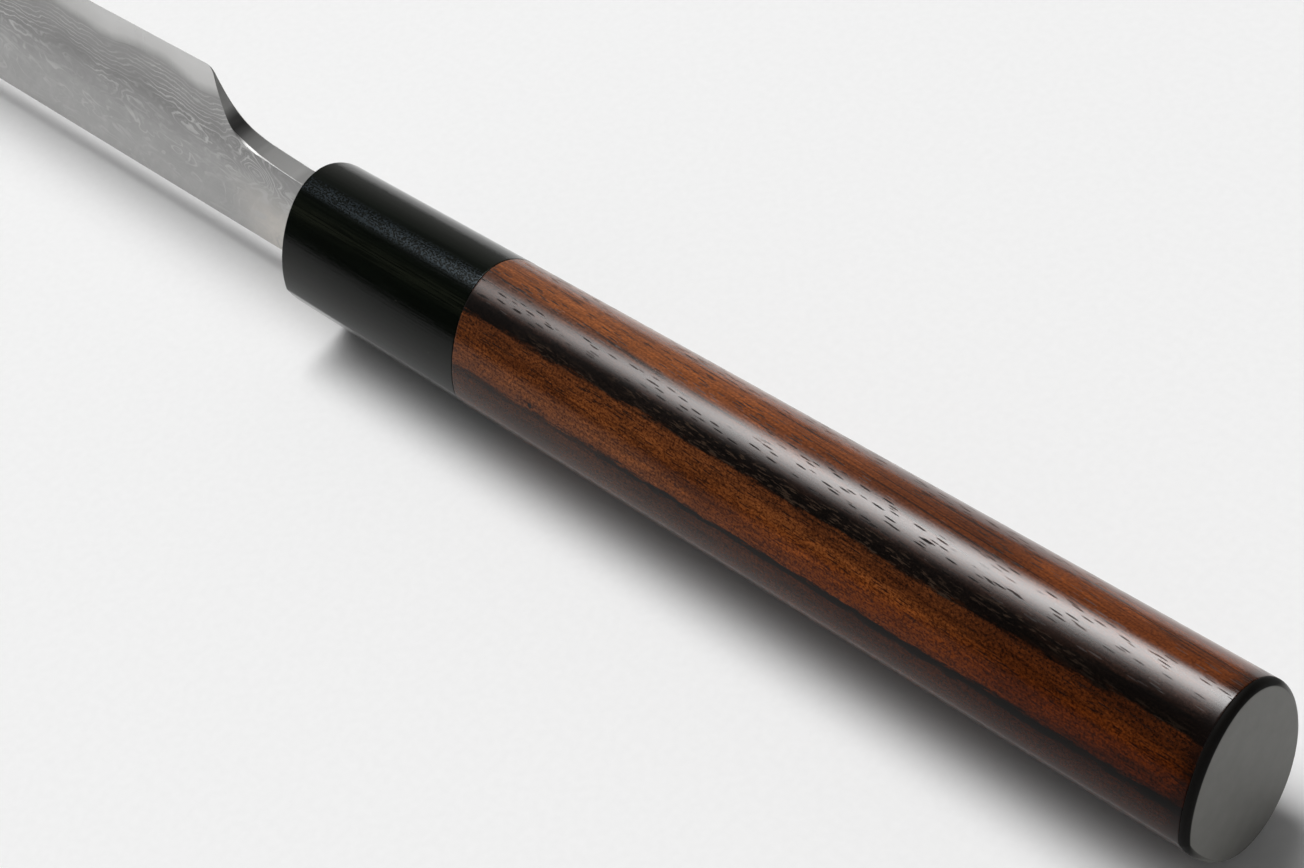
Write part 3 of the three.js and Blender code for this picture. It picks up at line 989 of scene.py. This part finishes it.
def layer_hill(make, place, height, reach, spread, rise):
    """A round hill in the layers."""
    along = make.math("SUBTRACT", make.dot((1 / MM / reach, 0, 0)), (HEEL_X / MM + place) / reach)
    up = make.math("SUBTRACT", make.dot((0, 0, 1 / MM / spread)), (SPINE_Z / MM + height) / spread)
    away = make.math("ADD", make.times(along, along), make.times(up, up))
    return make.times(make.math("EXPONENT", make.times(away, -1.0)), rise)


def steel_layers(make, below):
    """Depth through the cladding's layers in millimetres, stirred more towards the spine."""
    follow = make.span(below, 4.0, 12.0, 0.95 * BEVEL_SLOPE, 0.2 * BEVEL_SLOPE)
    field = make.math("ADD", make.dot((0, 1 / MM, 0)), make.times(border_wave(make), follow))
    slow = make.span(make.grain((60, 40, 130), 2.0, 0.5, 1.7, 0.3), 0.2, 0.8, -1.0, 1.0)
    stir = make.span(below, 7.0, 15.0, 0.06, 0.42)
    field = make.math("ADD", field, make.times(slow, stir))
    for scale, shift, reach in (((170, 120, 420), 5.2, 0.10), ((620, 300, 900), 4.1, 0.034)):
        quiver = make.span(make.grain(scale, 2.0, 0.55, shift), 0.2, 0.8, -reach, reach)
        field = make.math("ADD", field, quiver)
    for hill in LAYER_HILLS:
        field = make.math("ADD", field, layer_hill(make, *hill))
    return field


def contour_lines(make, below):
    """Bright and fine lines along the layers, strong on the bevel and faint towards the spine."""
    field = steel_layers(make, below)
    wave = make.math("SINE", make.times(field, 2 * math.pi / LAYER_PITCH))
    fine_wave = make.math("SINE", make.times(field, 2 * math.pi * FINE_LINES_PER_LAYER / LAYER_PITCH))
    fine = make.span(fine_wave, 0.3, 1.0, 0.0, 0.35)
    line = make.math("MAXIMUM", make.span(wave, 0.25, 1.0), fine)
    strength = make.span(make.grain((90, 70, 260), 3.0, 0.6, 3.3), 0.34, 0.66, 0.12, 1.0)
    at_throat = make.span(past_heel(make), -6.0, 3.0, 0.0, 5.0)
    fade = make.span(make.math("SUBTRACT", below, at_throat), 9.5, 15.5, 1.0, 0.34)
    return make.times(line, strength, fade)


def swirl_threads(make, below):
    """Pale threads that meander over the flat between the bevel and the spine."""
    swirl = make.grain((100, 60, 190), 2.0, 0.45, 2.3, 1.1)
    thread = make.span(make.math("SINE", make.times(swirl, 2 * math.pi * THREADS_PER_SWIRL)), 0.62, 1.0)
    patch = make.span(make.grain((150, 90, 260), 2.0, 0.5, 5.1), 0.40, 0.58, 0.15, 0.75)
    return make.times(thread, patch, make.span(below, 12.5, 15.5))


def patterned_steel():
    make = Recipe("patterned_steel")
    below = below_edge(make)
    sides = across_blade(make)
    line = make.times(contour_lines(make, below), sides)
    thread = make.times(swirl_threads(make, below), sides)
    wander = make.span(make.grain((90, 60, 160), 2.0, 0.5, 7.4), 0.2, 0.8, -0.9, 0.9)
    # Painted shade and reflection, partly the steel's finish: the cladding's tone by depth below the
    # edge.
    tones = [(depth, rgb(tone, 0.993 * tone, 0.98 * tone)) for depth, tone in STEEL_TONES]
    color = make.chart(make.math("ADD", below, wander), 0.0, STEEL_REACH, tones)

    smear = make.sweep(math.radians(48), 130, 560, 3.0, 0.55, 6.2, 0.7)
    smeared = make.span(below, 11.0, 15.0, 0.3, 1.0)
    color = make.vary(color, smear, [
        (0.30, rgb(0.97, 0.97, 0.97)),
        (0.52, rgb(0.99, 0.99, 0.99)),
        (0.68, rgb(1.06, 1.06, 1.06))], smeared)
    cloud = make.grain((120, 100, 260), 3.0, 0.6, 8.1)
    color = make.vary(color, cloud, [(0.3, rgb(0.95, 0.95, 0.95)), (0.72, rgb(1.06, 1.06, 1.06))])
    # Painted reflection, partly a warm stain: the blade is warmer and paler near the mouth.
    to_mouth = make.span(make.dot((1 / MM, 0, 0)), -170, -158)
    near_mouth = make.times(to_mouth, make.span(below, 13.0, 22.0))
    color = make.mix(near_mouth, color, rgb(1.48, 1.42, 1.34), "MULTIPLY")
    color = make.mix(line, color, LINE_STEEL)
    color = make.mix(thread, color, THREAD_STEEL)
    # The filed wall gets its painted shade and reflection.
    wall = make.times(make.fall(sides, 0.10, 0.28), make.span(make.dot((0, 0, 1 / MM)), 3, 6))
    color = make.mix(wall, color, neck_wall(make))
    polish_and_reflection_tint = make.grain((5200, 60, 160), 2.0, 0.6, 2.6)
    rough = make.math("ADD", make.span(line, 0.0, 1.0, 0.30, 0.24), make.times(polish_and_reflection_tint, 0.08))
    rough = make.math("ADD", rough, make.times(wall, 0.10))
    relief = make.bump(line, 0.003 * MM, 0.4)
    relief = make.bump(polish_and_reflection_tint, 0.002 * MM, 0.3, relief)
    return make.finish(Base_Color=color, Metallic=1.0, Roughness=rough, Normal=relief)


def hard_steel():
    """Bright towards the edge, ground plainly on the back, and dimmer away from the heel."""
    make = Recipe("hard_steel")
    cloud = make.grain((150, 130, 260), 3.0, 0.6, 6.4)
    polish_and_reflection_tint = make.grain((5600, 70, 170), 2.0, 0.6, 4.5)
    border = make.math("ADD", border_wave(make), BORDER_DEPTH / MM)
    above_border = make.math("SUBTRACT", border, below_edge(make))
    above_border = make.math("ADD", above_border, make.span(cloud, 0.2, 0.8, -0.3, 0.3))
    bright = make.chart(above_border, 0.0, 4.0, [
        (0.0, rgb(0.310, 0.308, 0.303)), (0.52, rgb(0.385, 0.383, 0.377)),
        (1.52, rgb(0.535, 0.532, 0.524)), (3.4, rgb(0.595, 0.592, 0.584))])
    ground = make.ramp(polish_and_reflection_tint, [(0.25, rgb(0.400, 0.398, 0.392)), (0.75, rgb(0.460, 0.458, 0.452))])
    behind = make.span(make.normal("Y", "True Normal"), 0.3, 0.7)
    sides = make.span(across_blade(make), 0.3, 0.7)
    color = make.mix(behind, bright, ground)
    # The spine and neck edge get the filed wall's painted shade and reflection.
    color = make.mix(sides, neck_wall(make), color)
    color = make.vary(color, make.span(past_heel(make), -42.0, -18.0), [
        (0.0, rgb(0.86, 0.86, 0.86)), (1.0, rgb(1.0, 1.0, 1.0))])
    rough = make.math("ADD", make.span(sides, 0.0, 1.0, 0.40, 0.25), make.times(polish_and_reflection_tint, 0.08))
    relief = make.bump(polish_and_reflection_tint, 0.002 * MM, 0.25)
    return make.finish(Base_Color=color, Metallic=1.0, Roughness=rough, Normal=relief)


def pale_wood():
    make = Recipe("pale_wood")
    fibre = make.grain((90, 2600, 2600), 3.0, 0.6, 3.7)
    rings = make.grain((12, 500, 500), 2.0, 0.5, 1.1)
    color = make.ramp(rings, [(0.3, rgb(0.52, 0.36, 0.19)), (0.7, rgb(0.66, 0.49, 0.29))])
    color = make.mix(make.times(fibre, 0.3), color, rgb(0.36, 0.23, 0.11))
    relief = make.bump(fibre, 0.03 * MM, 0.6)
    return make.finish(Base_Color=color, Roughness=make.span(fibre, 0.2, 0.8, 0.6, 0.8), Normal=relief)


def pale_resin():
    make = Recipe("pale_resin")
    cloud = make.grain((900, 900, 900), 3.0, 0.6, 7.3)
    color = make.ramp(cloud, [(0.3, rgb(0.44, 0.37, 0.25)), (0.7, rgb(0.56, 0.49, 0.35))])
    relief = make.bump(cloud, 0.03 * MM, 0.4)
    return make.finish(Base_Color=color, Roughness=make.span(cloud, 0.2, 0.8, 0.35, 0.55), Normal=relief)


# Camera at the photograph's viewing angle
VIEW_AZIMUTH = math.radians(55.037)
VIEW_ELEVATION = math.radians(43.225)
VIEW_ROLL = math.radians(-13.754)
VIEW_DISTANCE = 299.56 * MM
VIEW_AIM = Vector((-81.63, -2.70, 3.26)) * MM
VIEW_LENS = 70.87
SENSOR_WIDTH = 36.0
CLIP_START = 10 * MM
CLIP_END = 50.0


def make_camera():
    data = bpy.data.cameras.new("camera")
    data.lens = VIEW_LENS
    data.sensor_width = SENSOR_WIDTH
    data.sensor_fit = "HORIZONTAL"
    data.clip_start = CLIP_START
    data.clip_end = CLIP_END
    camera = bpy.data.objects.new("camera", data)
    bpy.context.scene.collection.objects.link(camera)
    back = Vector((
        math.sin(VIEW_AZIMUTH) * math.cos(VIEW_ELEVATION),
        -math.cos(VIEW_AZIMUTH) * math.cos(VIEW_ELEVATION),
        math.sin(VIEW_ELEVATION)))
    level = Euler((math.pi / 2 - VIEW_ELEVATION, 0, VIEW_AZIMUTH)).to_matrix()
    turned = level @ Matrix.Rotation(VIEW_ROLL, 3, "Z")
    camera.matrix_world = Matrix.Translation(VIEW_AIM + back * VIEW_DISTANCE) @ turned.to_4x4()
    bpy.context.scene.camera = camera


# Stage: a pale floor, one soft lamp overhead towards the blade that dims towards its edges, and
# a dim room that is paler at the two ends of the knife. The lamp's lean and reach are per metre
# of its height.
FLOOR_SIZE = 120.0
LAMP_HEIGHT = 10.0
LAMP_LEAN = (-0.617, -0.106)
LAMP_REACH = (1.37, 0.64)
LAMP_TURN = math.radians(57.0)
LAMP_RADIANCE = 15.3
LAMP_FADES = ((0.62, 0.13), (0.46, 0.46))
ROOM_PALE_SIDE = Vector((-0.95, 0.31, 0.0))
ROOM_PALE_FROM = 0.35
ROOM_PALE_TO = 0.95
ROOM_DIM = 0.04
ROOM_PALE = 0.40


def make_floor():
    build = bmesh.new()
    bmesh.ops.create_grid(build, x_segments=8, y_segments=8, size=FLOOR_SIZE / 2)
    mesh = bpy.data.meshes.new("floor")
    build.to_mesh(mesh)
    build.free()
    floor = new_object("floor", mesh)
    floor.location.z = FLOOR_Z
    make = Recipe("floor_paper")
    tooth = make.grain((900, 900, 900), 2.0, 0.5, 1.0)
    color = make.ramp(tooth, [(0.3, rgb(0.93, 0.93, 0.93)), (0.7, rgb(0.95, 0.95, 0.95))])
    floor.data.materials.append(make.finish(Base_Color=color, Roughness=0.9, Specular_IOR_Level=0.1))


def make_lamp():
    width, depth = (reach * LAMP_HEIGHT for reach in LAMP_REACH)
    data = bpy.data.lights.new("soft_lamp", "AREA")
    data.shape = "RECTANGLE"
    data.size, data.size_y = width, depth
    data.energy = LAMP_RADIANCE * math.pi * width * depth
    lamp = bpy.data.objects.new("soft_lamp", data)
    bpy.context.scene.collection.objects.link(lamp)
    middle = (MOUTH_X + BUTT_X) / 2
    lamp.location = (middle + LAMP_LEAN[0] * LAMP_HEIGHT, LAMP_LEAN[1] * LAMP_HEIGHT, LAMP_HEIGHT)
    lamp.rotation_euler.z = LAMP_TURN
    soften_lamp(data)


def soften_lamp(data):
    """Dims a lamp smoothly towards its four edges, over a share of its length and width."""
    data.use_nodes = True
    make = Nodes(data.node_tree)
    place = make.add("ShaderNodeNewGeometry").outputs["Parametric"]
    parts = make.add("ShaderNodeSeparateXYZ", {0: place})
    level = 1.0
    for axis, (first, last) in enumerate(LAMP_FADES):
        for start, end in ((0.0, first), (1.0, 1.0 - last)):
            level = make.times(make.span(parts.outputs[axis], start, end), level)
    make.tree.links.new(level, make.tree.nodes["Emission"].inputs["Strength"])


def make_room():
    world = bpy.data.worlds.new("room")
    bpy.context.scene.world = world
    world.use_nodes = True
    make = Nodes(world.node_tree)
    direction = make.add("ShaderNodeTexCoord").outputs["Generated"]
    either_end = make.math("ABSOLUTE", make.vector_math("DOT_PRODUCT", direction, ROOM_PALE_SIDE))
    level = make.span(either_end, ROOM_PALE_FROM, ROOM_PALE_TO, ROOM_DIM, ROOM_PALE)
    make.tree.links.new(level, make.tree.nodes["Background"].inputs["Color"])


# Pieces

def dress(piece, material, slot, *nodes):
    """A new piece that stands for solids of the part."""
    piece.data.materials.clear()
    piece.data.materials.append(material)
    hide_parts(*nodes)
    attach(piece, "root")


def repaint(node, material):
    """A solid that stays as it is, with its finish."""
    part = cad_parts[node]
    part.data.materials.clear()
    part.data.materials.append(material)


cladding, core = make_blade_pieces()
dress(cladding, patterned_steel(), "patterned_steel", "blade_cladding")
dress(core, hard_steel(), "hard_steel", "blade_core")
dress(make_ferrule(), black_wood(), "black_wood", "ferrule")
dress(make_grip(), rosewood(), "rosewood", "handle_grip")
dress(make_butt_plate(), end_plate(), "end_plate", "end_cap")
resin = pale_resin()
repaint("mouth_seal", resin)
repaint("tang_bedding", resin)
repaint("ferrule_dowel", pale_wood())

make_floor()
make_lamp()
make_room()
make_camera()
bpy.context.scene.view_settings.view_transform = "Standard"
